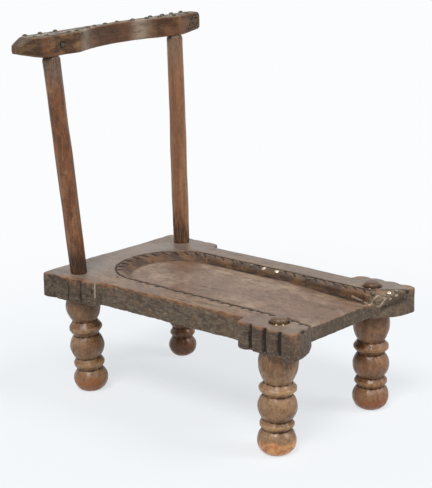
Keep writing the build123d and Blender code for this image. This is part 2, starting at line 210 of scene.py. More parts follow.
def along_border(points):
    """Distance in from the border's outer edge, and along it from the middle of the back."""
    x = np.abs(points[:, 0])
    y = points[:, 1]
    flare = np.where(points[:, 0] > 0, right_flare, left_flare)
    inset = border_out - x
    run = quarter_run + arc_y - y
    behind = y > arc_y
    inset = np.where(behind, border_out - np.hypot(x, y - arc_y), inset)
    run = np.where(behind, border_out * np.arctan2(x, np.maximum(y - arc_y, 1e-6)), run)
    mouth = y < mouth_y
    spread = (mouth_y - y) * np.tan(flare)
    inset = np.where(mouth, (border_out + spread - x) * np.cos(flare), inset)
    run = np.where(mouth, quarter_run + straight_run + (mouth_y - y) / np.cos(flare), run)
    return inset, run


def chip_cuts(points, inset, run):
    """Slanted, leaf-shaped chips round the border: how deep, and how strong the painted highlight on
    their pale side.
    """
    chance = np.random.default_rng(7)
    way = np.where(points[:, 0] < 0, -run, run)
    depth = np.zeros(len(points))
    pale = np.zeros(len(points))
    near = (inset > -9) & (inset < border_width + 3)
    end = quarter_run + straight_run + 26.0
    for centre in np.arange(-end, end, chip_pitch):
        centre += chance.normal(0, 1.0)
        right_hand = centre > -80.0          # the carver changed hands at the back
        lean = 1 if right_hand else -1
        middle = 4.2 if right_hand else 2.0
        width = chance.uniform(5.0, 6.6)
        deep = chance.uniform(2.2, 3.2)
        length = chance.uniform(5.8, 7.2)
        if centre < -150.0:                  # down the left side they cross the line
            middle = -1.6
            width += 2.0
        steepness = 40.0
        if centre > 150.0:                   # down the right side they are shallow and lie flatter
            middle = chance.uniform(2.0, 3.4)
            length -= 1.6
            deep -= 0.7
            steepness = 56.0
        slant = math.tan(math.radians(chance.normal(steepness, 6)))
        if centre > 0 and any(abs(centre - tack) < 6.5 for tack in tack_runs):
            continue
        close = near & (np.abs(way - centre) < 20)
        out = inset[close] - middle
        across = lean * (way[close] - centre) - slant * out
        leaf = width * np.sqrt(np.clip(1 - (out / length) ** 2, 0, 1)) + 1e-6
        steep = np.where(across > 0, across / (0.35 * leaf), -across / leaf)
        inside = leaf > 0.05
        depth[close] = np.maximum(depth[close], deep * np.clip(1 - steep, 0, 1) * inside)
        # the gentle facet of each chip gets a painted highlight
        lit_facet = np.clip(1 - np.abs(across / leaf + 0.7) / 0.4, 0, 1) * (leaf > 0.3 * width)
        lit_facet *= 0.9 if abs(centre + 95.0) < 50.0 else 0.4
        pale[close] = np.maximum(pale[close], lit_facet)
    return depth, pale


def floor_under(points):
    """Height of the hollow's floor, which is level and then falls towards the lip."""
    fallen = np.clip((lip_y + floor_run - points[:, 1]) / floor_run, 0, 1)
    return seat_top - floor_depth - (lip_depth - floor_depth) * fallen


def near_line(points, start, end, reach):
    """1 on a line between two spots, falling away round it."""
    start = np.array(start, float)
    way = np.array(end, float) - start
    share = np.clip(((points - start) @ way) / (way @ way), 0, 1)
    gap = np.linalg.norm(points - start - share[:, None] * way, axis=1)
    return np.exp(-((gap / reach) ** 2))


def score_line(points, start, end, width, deep):
    """A straight crack or cut on the top, deepest in its middle."""
    start = np.array(start, float)
    way = np.array(end, float) - start
    share = np.clip(((points[:, :2] - start) @ way) / (way @ way), 0, 1)
    gap = np.linalg.norm(points[:, :2] - start - share[:, None] * way, axis=1)
    return deep * np.exp(-((gap / width) ** 2)) * np.sin(math.pi * np.clip(share, 0.04, 0.96))


def tack_places(node, shank=9.0):
    """Where each tack's head sits and which way it faces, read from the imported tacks."""
    shell = bmesh.new()
    shell.from_mesh(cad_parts[node].data)
    bmesh.ops.remove_doubles(shell, verts=shell.verts, dist=0.001 * mm)
    left = set(shell.verts)
    places = []
    while left:
        group = [left.pop()]
        for vert in group:
            for edge in vert.link_edges:
                other = edge.other_vert(vert)
                if other in left:
                    left.discard(other)
                    group.append(other)
        spots = np.array([vert.co for vert in group]) / mm
        middle = (spots.min(axis=0) + spots.max(axis=0)) / 2
        tip = spots[np.argmax(np.linalg.norm(spots - middle, axis=1))]
        end = spots[np.linalg.norm(spots - tip, axis=1) < 1.6].mean(axis=0)
        head = spots[np.linalg.norm(spots - end, axis=1) > shank - 0.5].mean(axis=0)
        facing = (head - end) / np.linalg.norm(head - end)
        places.append((end + shank * facing, facing))
    shell.free()
    return sorted(places, key=lambda place: (round(place[0][1]), place[0][0]))


border_tack_places = tack_places("border_tacks")
tack_runs = along_border(np.array([place for place, _ in border_tack_places]) - seat_middle)[1]

seat = even_copy("seat_plank", "seat", 1.3)
skin = Skin(seat)
p = skin.points
inset, run = along_border(p)

# the hollow's wall leans and runs into the floor in a curve, as an adze leaves it
floor_z = floor_under(p)
wall_lean = 2.5 + 7.0 * ease(p[:, 1], arc_y - 20, arc_y + 60)
fall = np.clip((seat_top - border_drop - p[:, 2]) / (seat_top - border_drop - floor_z), 0, 1) ** 1.4
slide = wall_lean * fall * np.clip((22.0 - inset) / 10.0, 0, 1) * ease(p[:, 1], mouth_y, mouth_y + 30)
slide = np.where((inset > border_width - 0.5) & (p[:, 2] > floor_z - 2), slide, 0)
inwards = -p[:, :2].copy()
inwards[:, 1] = np.where(p[:, 1] > arc_y, arc_y - p[:, 1], 0)
inwards /= np.linalg.norm(inwards, axis=1)[:, None] + 1e-9
p[:, :2] += inwards * slide[:, None]
skin.rub(5, 0.5)

# the border's slope, its scored line and its chips are cut to their true lines
inset, run = along_border(p)
chips, _ = chip_cuts(p, inset, run)
wander = 0.5 * bumps(p, 22.0, 3)
line_width = 1.6 + 0.45 * bumps(p, 9.0, 4)
line_depth = (2.6 + 0.8 * bumps(p, 12.0, 5)) * np.exp(-(((inset + 1.0 + wander) / line_width) ** 2))
slope = border_drop * np.clip(inset / border_width, 0, 1) ** 1.3
on_band = (inset > -9.0) & (inset < border_width - 1.2) & (p[:, 2] > seat_top - border_drop - 2.4)
on_band &= skin.normals()[:, 2] > 0.35
p[on_band, 2] = (seat_top - slope - np.maximum(line_depth, chips))[on_band]

# hand work: a hewn top and floor, chopped sides, an adzed underside
facing = skin.normals()
upward = ease(facing[:, 2], 0.4, 0.8)
downward = ease(-facing[:, 2], 0.4, 0.8)
sideways = 1 - upward - downward
swell = 0.55 * bumps(p, 55.0, 5, (1, 1.6, 1)) + 0.22 * bumps(p, 17.0, 6, (1, 1.5, 1))
planing = 0.12 * bumps(p, 4.0, 7, (1, 6, 1))
chopping = 0.5 * bumps(p, 7.0, 8, (1, 1, 3)) + 0.25 * bumps(p, 2.6, 9, (1, 1, 5))
adze = 1.1 * np.abs(bumps(p, 26.0, 10, (1, 1.4, 1)))
plain = 1 - np.exp(-((inset - 3.0) / 9.0) ** 4)
skin.lift(upward * (swell * plain + planing) + sideways * chopping - downward * adze)

# the valleys between the lobes are cut deep, the ones in front deepest
valleys = []
for i, depth in ((0, 1.5), (1, 3.4), (2, 3.4), (3, 3.6), (4, 1.2)):
    valleys.append((-136.5, front_edge + front_lobe * i, depth))
    valleys.append((141.0 - 1.1 * i, front_edge + front_lobe * i, 0.7 * depth))
    valleys.append((139.0, back_edge - rear_lobe * i, 0.5 * depth))
    valleys.append((1.0 * i - 144.0, back_edge - rear_lobe * i, 0.42 * depth))
valleys.append((-139.5, 146.0, 2.0))


def in_valleys(points, reach):
    """How far into a valley between two lobes, in millimetres, at each point."""
    deep = np.zeros(len(points))
    for x, y, depth in valleys:
        gap = np.hypot(points[:, 0] - x, points[:, 1] - y)
        deep = np.maximum(deep, depth * np.exp(-((gap / reach) ** 2)))
    return deep


skin.lift(-in_valleys(p, 3.4) * sideways)

# cracks along the grain and a slit that runs out from the border
cracks = [
    ((-97.0, 134.0), (-88.0, 139.0), 0.8, 1.6),
    ((-118.0, -60.0), (-115.0, 20.0), 0.5, 0.7),
    ((-60.0, 226.0), (-52.0, 249.0), 0.5, 1.0),
    ((24.0, -214.0), (20.0, -150.0), 0.5, 0.7),
    ((112.0, 40.0), (108.0, 130.0), 0.5, 0.7),
    ((-20.0, -60.0), (-26.0, 60.0), 0.45, 0.5),
    ((124.0, 228.0), (121.0, 250.0), 0.6, 1.2),
]
split = np.maximum.reduce([score_line(p, *crack) for crack in cracks])
p[:, 2] -= split * upward

# corners that hands and feet have rubbed round
low_z = seat_top - lip_depth
rubbed_places = [
    ((-136, -249, seat_top), (-136, -246, seat_top), 12.0),
    ((140, -249, seat_top), (138, -243, seat_top), 13.0),
    ((-146, 249, seat_top), (-144, 246, seat_top), 11.0),
    ((-143, 205, seat_top), (-140, 152, seat_top), 8.0),
    ((139, 249, seat_top), (139, 245, seat_top), 9.0),
    ((-136, -147, seat_top), (-137, -160, seat_top), 7.0),
    ((136, -147, seat_top), (136, -155, seat_top), 8.0),
    ((-64, -217, low_z), (-60, -216, low_z), 6.0),
    ((72, -217, low_z), (68, -216, low_z), 5.0),
]
rubbing = np.maximum.reduce([near_line(p, *place) for place in rubbed_places])
skin.rub(12, 0.5 * rubbing)
lobe_edge = near_line(p, (-140, -150, seat_top), (-140, -246, seat_top), 6.0)
skin.rub(8, 0.45 * lobe_edge)
ear_notch = ((-121, -249, seat_top), (-113, -247, seat_top - 2))
skin.lift(-2.6 * near_line(p, *ear_notch, 3.2))
ear_marks = [
    ((76.2, -216.3, 176.4), (85.8, -222.5, 187.4)),
    ((85.8, -222.5, 187.4), (90.4, -234.3, 184.0)),
    ((90.4, -234.3, 184.0), (81.7, -227.5, 171.2)),
    ((81.7, -227.5, 171.2), (76.2, -216.3, 176.4)),
]
diamond = np.maximum.reduce([near_line(p, start, end, 1.8) for start, end in ear_marks])
skin.lift(-0.8 * diamond)
outer_edge = ease(p[:, 2], seat_top - 7, seat_top - 2) * ease(-inset, 14, 22)
skin.rub(3, 0.45 * outer_edge)
skin.write()
thin_out(seat, 0.46)

skin = Skin(seat)
p = skin.points
facing = skin.normals()
inset, run = along_border(p)
keen = skin.keen(2)
upward = ease(facing[:, 2], 0.55, 0.9)
chips, pale = chip_cuts(p, inset, run)
on_top = ease(p[:, 2], seat_top - 8, seat_top - 5)
line_width = np.where(p[:, 0] < 0, 1.7, 2.1) + 0.5 * bumps(p, 9.0, 4)
scored = np.exp(-(((inset + 0.8) / line_width) ** 2)) * on_top
split = [score_line(p, start, end, 1.3 * width, 1.0) for start, end, width, _ in cracks]
split = np.maximum.reduce(split)
floor_z = floor_under(p)
foot_gap = np.abs(p[:, 2] - floor_z) + np.abs(inset - border_width - 3)
wall_foot = np.exp(-((foot_gap / 3.5) ** 2)) * (inset > 0)
valley = np.clip(in_valleys(p, 2.6) / 3.4, 0, 1) * (1 - upward)
shoulder = near_line(p, (-139.5, 146, seat_top), (-139.5, 146, seat_top - 26), 2.2)
ear_shade = 0.5 * near_line(p, (84, -231, 170), (116, -247, 178), 6.0)
nooks = np.clip(-keen, 0, 1) * 0.7
# the chips are painted dark as shade on their steep side
cut = np.clip(chips / np.where(p[:, 0] < 0, 1.4, 1.8), 0, 1) * on_top * (1 - 0.8 * pale)
notch = near_line(p, *ear_notch, 4.0)
# shade_and_soil on the seat is mostly painted shade: it darkens the chips, the scored line, creases,
# cracks, the foot of the hollow's wall, the ear notch, the valleys between the lobes and the rear
# block's shoulder, and it paints the sides of the rear block darker
shade_and_soil = [0.95 * cut, scored, nooks, split * upward, 0.45 * wall_foot, 0.8 * notch]
shade_and_soil += [0.55 * valley, 0.45 * shoulder, ear_shade, 0.37 * ease(p[:, 1], 138, 146) * (1 - upward)]
rubbed = [0.8 * near_line(p, start, end, 1.2 * reach) for start, end, reach in rubbed_places]
edges = [
    ((-129, 136, seat_top), (-121, -146, seat_top), 8.0, 0.7),
    ((-139, -148, seat_top), (-139, -246, seat_top), 6.0, 0.7),
    ((-60, -217, low_z), (72, -217, low_z), 3.0, 0.6),
    ((-134, -250, seat_top - 3), (-134, -250, seat_top - 34), 6.0, 0.5),
]
rubbed += [share * near_line(p, start, end, reach) for start, end, reach, share in edges]
skin.store("shade_and_soil", np.maximum.reduce(shade_and_soil))
skin.store("worn", np.clip(keen, 0, 1))
skin.store("rubbed", np.maximum.reduce(rubbed))
# pale: a painted highlight on the chips' facets, with the pale lines of the ear's diamond and pale
# flecks
light_marks = [0.8 * pale * on_top]
light_marks += [0.9 * near_line(p, start, end, 1.5) for start, end in ear_marks]
flecks = [
    ((75, -184, 181), (75, -200, 178), 1.6),
    ((75, -200, 178), (73, -217, 174), 1.6),
    ((105, -243, 186), (103, -242, 186), 2.2),
    ((96, -238, 182), (95, -238, 182), 2.0),
    ((-86, -141, 190), (-86, -138, 190), 2.2),
    ((-136.5, 140.5, seat_top - 2), (-137, 141, seat_top - 24), 1.1),
]
light_marks += [0.9 * near_line(p, start, end, reach) for start, end, reach in flecks]
skin.store("pale", np.maximum.reduce(light_marks))
skin.store("side", 1 - upward)
# a painted grey sheen on the top faces at the back, at the front and along the right rim
grey_sheen = ease(p[:, 1], 110, 200) + 0.6 * ease(-p[:, 1], 150, 190) + 0.5 * ease(p[:, 0], 90, 96)
skin.store("grey_sheen", grey_sheen * upward * (1 - ease(inset, -3, 1)))
round_end = 8 * ease(p[:, 1], arc_y - 20, arc_y + 60)
skin.store("floor", ease(inset, 13.0 + round_end, 20.0 + round_end))
wall = ease(inset, 0.5, 3.0) * (1 - ease(inset, 15.0 + round_end, 20.0 + round_end))
skin.store("wall", wall * ease(p[:, 1], lip_y - 2, lip_y + 10) * (p[:, 2] > floor_z - 2))
away = np.minimum(*(np.hypot(p[:, 0] - x, p[:, 1] - boss_y) for x in (-boss_x, boss_x)))
skin.store("ring", np.exp(-(((away - 17.8) / 2.0) ** 2)) * on_top)
# the groove round each boss is painted dark as shade
skin.store("moat", (1 - ease(away, 15.0, 16.2)) * on_top)


def tone(red, green, blue):
    """A colour given as it looks, 0 to 255, turned into light."""
    shares = [value / 255 for value in (red, green, blue)]
    light = [s / 12.92 if s <= 0.04045 else ((s + 0.055) / 1.055) ** 2.4 for s in shares]
    return (*light, 1.0)


class Field:
    """A number or colour that changes over a surface: one output socket, with arithmetic."""

    def __init__(self, finish, socket):
        self.finish = finish
        self.socket = socket

    def math(self, operation, first, second):
        return self.finish.add("ShaderNodeMath", {"operation": operation}, {0: first, 1: second})

    def __add__(self, other):
        return self.math("ADD", self, other)

    def __radd__(self, other):
        return self.math("ADD", other, self)

    def __sub__(self, other):
        return self.math("SUBTRACT", self, other)

    def __rsub__(self, other):
        return self.math("SUBTRACT", other, self)

    def __mul__(self, other):
        return self.math("MULTIPLY", self, other)

    def __rmul__(self, other):
        return self.math("MULTIPLY", other, self)

    def __pow__(self, other):
        return self.math("POWER", self, other)

    def clamp(self):
        settings = {"operation": "MINIMUM"}
        top = self.finish.add("ShaderNodeMath", settings, {0: self, 1: 1.0})
        return self.finish.add("ShaderNodeMath", {"operation": "MAXIMUM"}, {0: top, 1: 0.0})


class Finish:
    """A material whose nodes are added one by one."""

    def __init__(self, name):
        self.material = bpy.data.materials.new(name)
        self.material.use_nodes = True
        self.nodes = self.material.node_tree.nodes
        self.links = self.material.node_tree.links
        self.shader = self.nodes["Principled BSDF"]

    def fill(self, node, sockets):
        for key, value in sockets.items():
            if isinstance(value, Field):
                self.links.new(value.socket, node.inputs[key])
            else:
                node.inputs[key].default_value = value

    def add(self, kind, settings, sockets, output=0):
        node = self.nodes.new(kind)
        for name, value in settings.items():
            if name == "stops":
                for i, (place, colour) in enumerate(value):
                    ramp = node.color_ramp.elements
                    stop = ramp[i] if i < 2 else ramp.new(place)
                    stop.position = place
                    stop.color = colour
            else:
                setattr(node, name, value)
        self.fill(node, sockets)
        return Field(self, node.outputs[output])

    def mix(self, share, first, second, blend="MIX"):
        settings = {"data_type": "RGBA", "blend_type": blend}
        return self.add("ShaderNodeMix", settings, {0: share, 6: first, 7: second}, 2)

    def layer(self, name):
        return self.add("ShaderNodeAttribute", {"attribute_name": name}, {}, "Fac")

    def place(self, stretch=(1, 1, 1), turn=(0, 0, 0)):
        spot = self.add("ShaderNodeTexCoord", {}, {}, "Object")
        return self.add("ShaderNodeMapping", {}, {"Vector": spot, "Scale": stretch, "Rotation": turn})

    def cloud(self, place, scale, detail=4.0, rough=0.55):
        sockets = {"Vector": place, "Scale": scale, "Detail": detail, "Roughness": rough}
        return self.add("ShaderNodeTexNoise", {}, sockets)

    def rise(self, value, low, high):
        """0 below low, 1 above high and smooth between."""
        settings = {"interpolation_type": "SMOOTHSTEP"}
        sockets = {"Value": value, "From Min": low, "From Max": high}
        return self.add("ShaderNodeMapRange", settings, sockets)

    def bump(self, height, strength, depth, over=None):
        sockets = {"Height": height, "Strength": strength, "Distance": depth}
        if over is not None:
            sockets["Normal"] = over
        return self.add("ShaderNodeBump", {}, sockets)


def coat_with(piece, material):
    piece.data.materials.clear()
    piece.data.materials.append(material)


def grain_of(finish, along, scale=1.0):
    """Long streaks, fine fibres, pores and coarse grit that follow one direction of the wood."""
    short = [1.0, 1.0, 1.0]
    short["XYZ".index(along)] = 0.07
    place = finish.place(short)
    warp = finish.cloud(finish.place(), 9.0 * scale, 2.0)
    bend = {"operation": "MULTIPLY_ADD"}
    sway = finish.add("ShaderNodeCombineXYZ", {}, {0: warp, 1: warp, 2: warp})
    place = finish.add("ShaderNodeVectorMath", bend, {0: sway, 1: (0.012,) * 3, 2: place})
    short["XYZ".index(along)] = 0.35
    streaks = finish.cloud(place, 120.0 * scale, 5.0, 0.6)
    fibres = finish.cloud(place, 560.0 * scale, 3.0, 0.7)
    pores = finish.rise(finish.cloud(place, 900.0 * scale, 2.0, 0.5), 0.60, 0.72)
    grit = finish.cloud(finish.place(short), 380.0 * scale, 5.0, 0.75)
    return streaks, fibres, pores, grit


wood = Finish("seat_old_wood")
streaks, fibres, pores, grit = grain_of(wood, "Y")
patches = wood.cloud(wood.place((1, 0.6, 1)), 15.0, 4.0, 0.6)
mottle = wood.cloud(wood.place((1, 0.5, 1)), 60.0, 5.0, 0.7)
shade_and_soil = wood.layer("shade_and_soil")
rubbed = wood.layer("rubbed")
side = wood.layer("side")
wall = wood.layer("wall")
speckle = wood.cloud(wood.place((1, 0.5, 1)), 170.0, 5.0, 0.75)
top = wood.mix(wood.rise(patches, 0.4, 0.58), tone(112, 82, 58), tone(142, 116, 92))
top = wood.mix(wood.rise(mottle, 0.44, 0.6) * 0.7, top, tone(88, 61, 41))
bed = wood.mix(wood.rise(patches, 0.41, 0.57), tone(122, 90, 67), tone(161, 137, 115))
bed = wood.mix(wood.rise(mottle, 0.44, 0.6) * 0.65, bed, tone(98, 70, 49))
top = wood.mix(wood.layer("floor"), top, bed)
top = wood.mix(wood.rise(streaks, 0.5, 0.66) * 0.3, top, tone(72, 50, 34))
top = wood.mix(wood.rise(speckle, 0.5, 0.6) * 0.5, top, tone(84, 60, 42))
top = wood.mix(wood.rise(grit, 0.54, 0.64) * 0.5, top, tone(176, 155, 130))
brown = wood.mix(wood.rise(mottle, 0.42, 0.58), tone(56, 35, 21), tone(104, 74, 46))
top = wood.mix(wall * 0.92, top, brown)
flank = wood.mix(wood.rise(patches, 0.4, 0.56), tone(82, 63, 46), tone(108, 92, 73))
flank = wood.mix(wood.rise(speckle, 0.42, 0.56) * 0.7, flank, tone(56, 44, 33))
flank = wood.mix(wood.rise(mottle, 0.52, 0.64) * 0.5, flank, tone(108, 76, 52))
flank = wood.mix(wood.rise(grit, 0.52, 0.64) * 0.5, flank, tone(150, 136, 116))
flank = wood.mix(wood.rise(fibres, 0.52, 0.62) * 0.5, flank, tone(44, 34, 27))
# the grey on the seat's tops is a painted sheen
dust_and_sheen = wood.mix(mottle, tone(118, 112, 106), tone(142, 136, 130))
top = wood.mix(wood.layer("grey_sheen") * 0.4, top, dust_and_sheen)
coat = wood.mix(wood.rise(side - wall, 0.25, 0.7), top, flank)
coat = wood.mix(pores * 0.35, coat, tone(52, 37, 27))
edge = wood.rise(wood.layer("worn") * 0.8 + (mottle - 0.5) * 1.2, 0.4, 0.9)
coat = wood.mix(edge * 0.35, coat, tone(150, 120, 90))
bare = wood.rise(rubbed + (mottle - 0.5) * 1.4 + (grit - 0.5) * 0.8, 0.3, 0.85)
orange = wood.mix(wood.rise(speckle, 0.42, 0.58), tone(154, 108, 70), tone(112, 72, 46))
coat = wood.mix(bare * 0.7, coat, orange)
coat = wood.mix(wood.layer("ring") * 0.6, coat, tone(140, 94, 58))
# painted highlights on the chips' facets, and pale marks
pale_marks_and_highlights = wood.rise(wood.layer("pale") + (grit - 0.5) * 0.8, 0.25, 0.7)
coat = wood.mix(pale_marks_and_highlights * 0.75, coat, tone(184, 166, 142))
# painted shade in the chips, the scored line, creases, cracks and lobe valleys, and the darker sides of
# the rear block
shade_and_dirt = wood.rise(shade_and_soil + (speckle - 0.5) * 0.5, 0.2, 0.6)
coat = wood.mix(shade_and_dirt * 0.94, coat, tone(32, 22, 16))
# painted shade in the groove round each boss
coat = wood.mix(wood.layer("moat") * 0.9, coat, tone(32, 23, 17))
height = streaks * 0.4 + fibres * 0.4 + grit * 0.8 + speckle * 0.6 - pores * 0.4
relief = wood.bump(height, 0.75, 0.9 * mm)
shine = 0.34 + wood.rise(patches, 0.4, 0.62) * 0.14 + side * 0.2 + shade_and_dirt * 0.2 + wall * 0.06
wood.fill(wood.shader, {"Base Color": coat, "Roughness": shine, "Normal": relief, "IOR": 1.47})
coat_with(seat, wood.material)
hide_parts("seat_plank")
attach(seat, "root")


# ---- the four legs -------------------------------------------------------------------
# Ball-and-ring legs of the same hardwood, each carved from one billet and waxed by
# handling. The front ones come up through the seat and end in a rounded boss; the back
# ones stop in the same holes as the posts. Their feet are rubbed down to bare wood.
def carve_leg(node, seed, bare_height, leg_darkening):
    """A leg that is not quite round, its rings softened, painted shade in its necks and its foot bare.
    """
    leg = even_copy(node, node + "_carved", 1.0)
    skin = Skin(leg)
    p = skin.points
    skin.rub(2, 0.5)
    below = 1 - ease(p[:, 2], seat_low[2] - 9, seat_low[2])
    dents = 0.4 * bumps(p, 24.0, seed) + 0.22 * bumps(p, 9.0, seed + 1) + 0.07 * bumps(p, 3.0, seed + 2)
    low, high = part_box(node)
    middle = np.array([(low.x + high.x) / 2, (low.y + high.y) / 2]) / mm
    angle = np.arctan2(p[:, 1] - middle[1], p[:, 0] - middle[0])
    facets = 0.16 * np.cos(11 * angle + 3 * bumps(p, 40.0, seed + 3))
    foot = ease(p[:, 2], 0.5, 4.0)
    skin.lift((dents + facets) * below * foot)
    keen = skin.keen(2)
    tide = p[:, 2] + 3 * bumps(p, 22.0, seed + 4) + 1.5 * bumps(p, 7.0, seed + 5)
    # painted shade in the necks and other hollows
    skin.store("shade_and_soil", np.clip(-keen, 0, 1))
    skin.store("worn", np.clip(keen, 0, 1))
    skin.store("foot", 1 - ease(tide, bare_height - 7, bare_height + 6))
    skin.store("boss", ease(p[:, 2], seat_top - 3, seat_top))
    skin.store("leg_darkening", np.full(len(p), leg_darkening))
    skin.write()
    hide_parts(node)
    return leg


def leg_finish():
    wood = Finish("leg_waxed_wood")
    streaks, fibres, pores, grit = grain_of(wood, "Z")
    spot = wood.place()
    patches = wood.cloud(spot, 26.0, 4.0, 0.6)
    mottle = wood.cloud(spot, 140.0, 5.0, 0.7)
    shade_and_soil = wood.layer("shade_and_soil")
    foot = wood.layer("foot")
    coat = wood.mix(wood.rise(patches, 0.38, 0.6), tone(118, 84, 56), tone(150, 116, 84))
    coat = wood.mix(wood.rise(mottle, 0.46, 0.62) * 0.5, coat, tone(84, 57, 38))
    coat = wood.mix(wood.rise(streaks, 0.5, 0.66) * 0.25, coat, tone(66, 44, 30))
    coat = wood.mix(wood.rise(grit, 0.53, 0.64) * 0.4, coat, tone(176, 144, 108))
    coat = wood.mix(pores * 0.35, coat, tone(44, 30, 21))
    edge = wood.rise(wood.layer("worn") + (mottle - 0.5) * 0.8, 0.4, 0.95)
    coat = wood.mix(edge * 0.55, coat, tone(176, 142, 98))
    bare = wood.mix(wood.rise(mottle, 0.4, 0.62), tone(212, 152, 96), tone(172, 112, 64))
    bare = wood.mix(wood.rise(streaks, 0.5, 0.66) * 0.3, bare, tone(126, 76, 42))
    bare = wood.mix(wood.rise(wood.layer("leg_darkening"), 0.0, 0.12) * 0.8, bare, tone(132, 78, 36))
    coat = wood.mix(wood.rise(foot + (mottle - 0.5) * 0.5, 0.1, 0.9) * 0.92, coat, bare)
    polished = wood.mix(mottle, tone(58, 41, 28), tone(96, 70, 46))
    coat = wood.mix(wood.layer("boss") * 0.8, coat, polished)
    coat = wood.mix(wood.layer("leg_darkening") * 0.7, coat, wood.mix(1.0, coat, tone(196, 146, 106), "MULTIPLY"))
    # painted shade in the necks
    shade_and_dirt = wood.rise(shade_and_soil + (mottle - 0.5) * 0.5, 0.34, 1.0)
    coat = wood.mix(shade_and_dirt * 0.85, coat, tone(48, 32, 20))
    relief = wood.bump(streaks * 0.2 + fibres * 0.2 + grit * 0.3 + mottle * 0.2, 0.35, 0.45 * mm)
    shine = 0.32 + wood.rise(mottle, 0.4, 0.62) * 0.12 + wood.rise(shade_and_soil, 0.1, 0.6) * 0.4
    wood.fill(wood.shader, {"Base Color": coat, "Roughness": shine, "Normal": relief, "IOR": 1.45})
    return wood.material


leg_wood = leg_finish()
wear = {
    "leg_front_left": (20.0, 0.0),        # height of the bare foot, how much darker the leg is painted
    "leg_front_right": (21.0, 0.6),
    "leg_back_left": (23.0, 0.12),
    "leg_back_right": (9.0, 1.0),
}
for number, (node, (bare_height, leg_darkening)) in enumerate(wear.items()):
    leg = carve_leg(node, 40 + 10 * number, bare_height, leg_darkening)
    coat_with(leg, leg_wood)
    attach(leg, "root")


# ---- the two back posts --------------------------------------------------------------
# Round staves of reddish hardwood shaved with a drawknife. Each is tenoned into the seat
# over a back leg and into the underside of the crest rail, and darkest near the seat.
def shave_post(node, seed, lightened):
    post = even_copy(node, node + "_shaved", 1.0)
    skin = Skin(post)
    p = skin.points
    skin.rub(2, 0.5)
    head_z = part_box("crest_rail")[0].z / mm
    foot = p[np.abs(p[:, 2] - seat_top - 30) < 20].mean(axis=0)
    head = p[np.abs(p[:, 2] - head_z + 30) < 20].mean(axis=0)
    rise = (p[:, 2] - seat_top) / (head_z - seat_top)
    axis = foot + (head - foot) * ((p[:, 2] - foot[2]) / (head[2] - foot[2]))[:, None]
    angle = np.arctan2(p[:, 1] - axis[:, 1], p[:, 0] - axis[:, 0])
    facets = 0.28 * np.cos(9 * angle + 2.5 * bumps(p, 120.0, seed))
    sway = 0.5 * bumps(p, 90.0, seed + 1) + 0.2 * bumps(p, 14.0, seed + 2, (1, 1, 3))
    clear = ease(p[:, 2], seat_top, seat_top + 6)
    skin.lift((facets + sway) * clear)
    keen = skin.keen(3)
    dark = 1 - ease(p[:, 2] + 22 * bumps(p, 40.0, seed + 3, (1, 1, 2)), seat_top + 8, seat_top + 75)
    under = ease(p[:, 2] + 5 * bumps(p, 12.0, seed + 4), head_z - 14, head_z + 2)
    # shade_and_soil: painted shade in the hollows and under the rail, and the darker wood near the seat
    skin.store("shade_and_soil", np.clip(0.5 * np.clip(-keen, 0, 1) + 0.6 * dark + 0.55 * under, 0, 1))
    skin.store("worn", np.clip(keen, 0, 1) * 0.6)
    # the grey at the head of each post is a painted highlight
    skin.store("head", ease(rise, 0.8, 0.97))
    # the right post is painted lighter all over
    skin.store("lightened", np.full(len(p), lightened))
    skin.write()
    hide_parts(node)
    return post


def post_finish():
    wood = Finish("post_red_wood")
    streaks, fibres, pores, grit = grain_of(wood, "Z")
    spot = wood.place((1, 1, 0.35))
    patches = wood.cloud(spot, 26.0, 4.0, 0.6)
    mottle = wood.cloud(spot, 120.0, 5.0, 0.7)
    flecks = wood.cloud(wood.place((1, 1, 0.6)), 260.0, 4.0, 0.75)
    coat = wood.mix(wood.rise(patches, 0.38, 0.6), tone(112, 68, 42), tone(150, 106, 72))
    # painted highlight at the head of each post
    coat = wood.mix(wood.layer("head") * 0.8, coat, tone(106, 98, 86))
    coat = wood.mix(wood.rise(streaks, 0.44, 0.62) * 0.6, coat, tone(64, 40, 26))
    coat = wood.mix(wood.rise(mottle, 0.5, 0.64) * 0.45, coat, tone(152, 94, 58))
    coat = wood.mix(wood.rise(flecks, 0.5, 0.62) * 0.5, coat, tone(78, 48, 32))
    coat = wood.mix(wood.rise(fibres, 0.5, 0.62) * 0.35, coat, tone(62, 40, 28))
    coat = wood.mix(wood.rise(grit, 0.54, 0.66) * 0.35, coat, tone(172, 138, 108))
    coat = wood.mix(pores * 0.35, coat, tone(42, 27, 19))
    coat = wood.mix(wood.layer("lightened") * 0.3, coat, tone(168, 126, 92))
    edge = wood.rise(wood.layer("worn") + (mottle - 0.5) * 0.7, 0.35, 0.9)
    coat = wood.mix(edge * 0.4, coat, tone(158, 108, 72))
    shade_and_dirt = wood.rise(wood.layer("shade_and_soil") + (mottle - 0.5) + (fibres - 0.5) * 1.4, 0.2, 0.8)
    # painted shade under the rail and in the hollows, with the darker wood near the seat
    coat = wood.mix(shade_and_dirt * 0.85, coat, tone(42, 31, 23))
    relief = wood.bump(streaks * 0.5 + fibres * 0.3 + flecks * 0.4 - pores * 0.3, 0.6, 0.7 * mm)
    shine = 0.34 + wood.rise(mottle, 0.4, 0.65) * 0.14 + shade_and_dirt * 0.3
    wood.fill(wood.shader, {"Base Color": coat, "Roughness": shine, "Normal": relief, "IOR": 1.36})
    return wood.material


post_wood = post_finish()
for number, node in enumerate(("back_post_left", "back_post_right")):
    post = shave_post(node, 80 + 10 * number, 0.9 * number)
    coat_with(post, post_wood)
    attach(post, "root")


